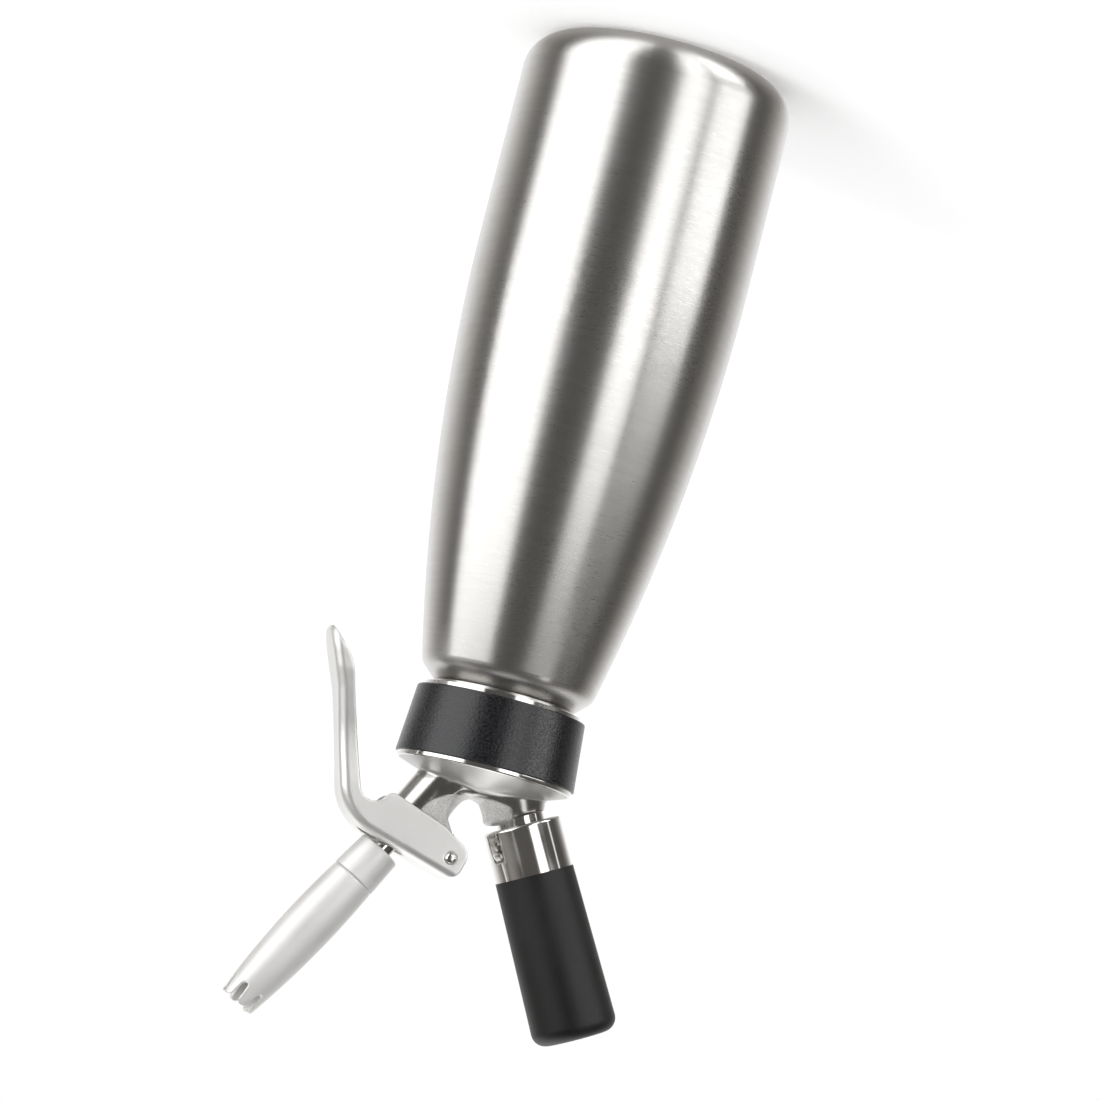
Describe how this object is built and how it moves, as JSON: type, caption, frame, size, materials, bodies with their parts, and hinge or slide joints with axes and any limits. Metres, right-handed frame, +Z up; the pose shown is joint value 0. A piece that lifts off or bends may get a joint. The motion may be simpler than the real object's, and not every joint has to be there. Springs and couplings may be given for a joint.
{
  "type": "whipped cream dispenser",
  "caption": "Steel whipping siphon: waisted bottle, screwed cast head with grip ring, hinged lever and valve, toothed decorating nozzle and screwed gas charger holder.",
  "frame": {"origin": "centre of the bottle's flat base", "axes": "+Z up the bottle's axis through the head, +X towards the side that the valve arm, the nozzle and the lever lean to, -X towards the gas charger"},
  "size_m": [0.1337, 0.096, 0.3583],
  "materials": {
    "bottle_steel": "fine circumferential brushing",
    "cast_steel": "satin bead-blasted casting",
    "polished_steel": "mirror polished stainless steel",
    "lever_steel": "satin brushed pressed sheet",
    "nozzle_steel": "pearl satin",
    "ring_plastic": "fine leather-like grain",
    "grip_rubber": "matte soft grip",
    "seal_rubber": "smooth silicone seal",
    "guide_plastic": "turned white bearing plastic",
    "spring_steel": "bright spring wire",
    "brass": "turned",
    "charger_steel": "zinc plated"
  },
  "bodies": {
    "bottle": {"bottle": "bottle_steel", "bottle_neck": "polished_steel"},
    "gasket": {"head_gasket": "seal_rubber"},
    "head": {"head_casting": "cast_steel", "grip_ring": "ring_plastic", "pin_holder": "brass", "piercing_pin": "polished_steel", "charger_seal": "seal_rubber", "gas_check_valve": "seal_rubber", "valve_guide": "guide_plastic", "valve_spring": "spring_steel"},
    "lever": {"lever": "lever_steel", "lever_pin": "polished_steel"},
    "valve": {"valve_stem": "polished_steel", "valve_seal": "seal_rubber", "stem_o_ring": "seal_rubber", "thrust_nut": "polished_steel"},
    "nozzle_washer": {"nozzle_seal": "seal_rubber"},
    "nozzle": {"nozzle_collar": "nozzle_steel", "nozzle_tip": "nozzle_steel"},
    "charger": {"gas_charger": "charger_steel", "charger_cap": "charger_steel"},
    "holder": {"charger_holder": "polished_steel", "charger_grip": "grip_rubber"}
  },
  "joints": [
    {"name": "head_lift", "type": "slide", "parent": "bottle", "child": "gasket", "axis": [0, 0, 1], "range_m": [0, 0.024]},
    {"name": "head_unscrew", "type": "hinge", "parent": "gasket", "child": "head", "pos_m": [0, 0, 0.2413], "axis": [0, 0, 1], "range_deg": [0, 2160]},
    {"name": "lever_press", "type": "hinge", "parent": "head", "child": "lever", "pos_m": [0.0054, 0, 0.2901], "axis": [0, 1, 0], "range_deg": [0, 9], "stiffness_Nm_per_rad": 5, "springref_deg": -5.73},
    {"name": "valve_travel", "type": "slide", "parent": "head", "child": "valve", "axis": [-0.4848, 0, -0.8746], "range_m": [0, 0.00276], "stiffness_N_per_m": 300, "springref_m": -0.008, "deforming": ["valve_spring"]},
    {"name": "nozzle_lift", "type": "slide", "parent": "valve", "child": "nozzle_washer", "axis": [0.4848, 0, 0.8746], "range_m": [0, 0.008]},
    {"name": "nozzle_unscrew", "type": "hinge", "parent": "nozzle_washer", "child": "nozzle", "pos_m": [0, 0, 0.2413], "axis": [0.4848, 0, 0.8746], "range_deg": [0, 1440.5]},
    {"name": "charger_lift", "type": "slide", "parent": "head", "child": "charger", "axis": [-0.4848, 0, 0.8746], "range_m": [0, 0.0125]},
    {"name": "holder_unscrew", "type": "hinge", "parent": "charger", "child": "holder", "pos_m": [0, 0, 0.2413], "axis": [-0.4848, 0, 0.8746], "range_deg": [0, 1800]}
  ],
  "couplings": [
    {"joint": "head_unscrew", "follows": "head_lift", "rad_per_m": 1570.8},
    {"joint": "nozzle_unscrew", "follows": "nozzle_lift", "rad_per_m": 3141.6},
    {"joint": "holder_unscrew", "follows": "charger_lift", "rad_per_m": 2513.3},
    {"joint": "valve_travel", "follows": "lever_press", "m_per_rad": 0.0175}
  ]
}
